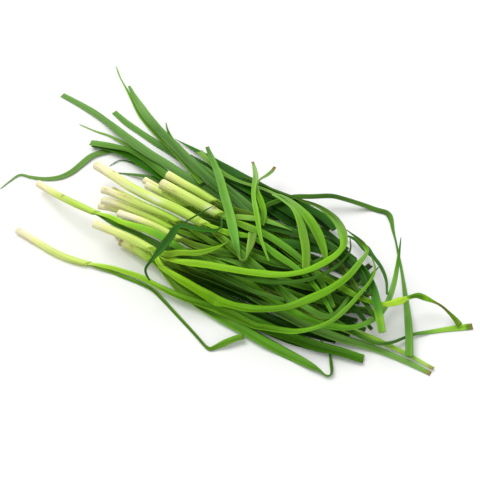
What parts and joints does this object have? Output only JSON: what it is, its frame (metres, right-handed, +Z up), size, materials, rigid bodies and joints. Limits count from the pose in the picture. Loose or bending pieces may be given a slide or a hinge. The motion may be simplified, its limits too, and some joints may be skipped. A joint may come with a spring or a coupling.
{
  "type": "garlic chive bunch",
  "caption": "Loose bunch of cut garlic chives lying down: pale round shanks that fan out into flat green strap leaves, some looped back.",
  "frame": {"origin": "on the surface it lies on, under the centre of the whole bunch's bounding box", "axes": "+Z up; the shanks' cut ends point to -X and the leaves run to +X and -Y; +X is the bunch's longest extent"},
  "size_m": [0.3042, 0.2756, 0.0369],
  "materials": {
    "shank_pale": "satin, moist cut leaf sheath",
    "leaf_lime": "satin, waxy young leaf",
    "leaf_green": "satin, waxy leaf",
    "leaf_dark": "satin, waxy old leaf",
    "leaf_grey_green": "matt, drying leaf tip"
  },
  "bodies": {
    "root": {"leaf_wavy_tip": "leaf_green", "leaf_pale_tip": "leaf_lime", "leaf_dark_tip": "leaf_dark", "leaf_low_tip": "leaf_dark", "leaf_dark_wide": "leaf_dark", "leaf_blunt": "leaf_green", "shank_under_01": "shank_pale", "leaves_under_01": "leaf_dark", "shank_under_02": "shank_pale", "leaves_under_02": "leaf_dark", "shank_under_03": "shank_pale", "leaves_under_03": "leaf_dark", "shank_under_04": "shank_pale", "leaves_under_04": "leaf_dark", "leaf_top_left": "leaf_grey_green", "leaf_second_left": "leaf_grey_green", "leaf_thin_point": "leaf_lime", "leaf_fourth_left": "leaf_grey_green", "leaf_sprout": "leaf_lime", "leaf_rear_low": "leaf_dark", "leaf_rear_wide": "leaf_dark", "leaf_back_rim": "leaf_dark", "shank_07": "shank_pale", "leaves_07": "leaf_green", "shank_04": "shank_pale", "leaves_04": "leaf_green", "shank_03": "shank_pale", "leaves_03": "leaf_dark", "shank_02": "shank_pale", "leaves_02": "leaf_green", "leaf_right_kinked": "leaf_green", "shank_08": "shank_pale", "leaves_08": "leaf_green", "shank_05": "shank_pale", "leaves_05": "leaf_green", "shank_tall_01": "shank_pale", "leaves_tall_01": "leaf_lime", "shank_tall_03": "shank_pale", "leaves_tall_03": "leaf_dark", "shank_tall_02": "shank_pale", "leaves_tall_02": "leaf_green", "shank_01": "shank_pale", "leaves_01": "leaf_green", "leaf_back_turned": "leaf_lime", "leaf_back_down": "leaf_lime", "shank_stalk_low": "shank_pale", "leaves_stalk_low": "leaf_lime", "shank_stalk_high": "shank_pale", "leaves_stalk_high": "leaf_green", "shank_06": "shank_pale", "leaves_06": "leaf_lime", "leaf_thin_arc": "leaf_dark", "leaf_front_turned": "leaf_grey_green", "leaf_fork_side": "leaf_lime", "leaf_forked": "leaf_lime", "leaf_strap_tip": "leaf_dark", "leaf_strap": "leaf_dark"}
  },
  "joints": []
}
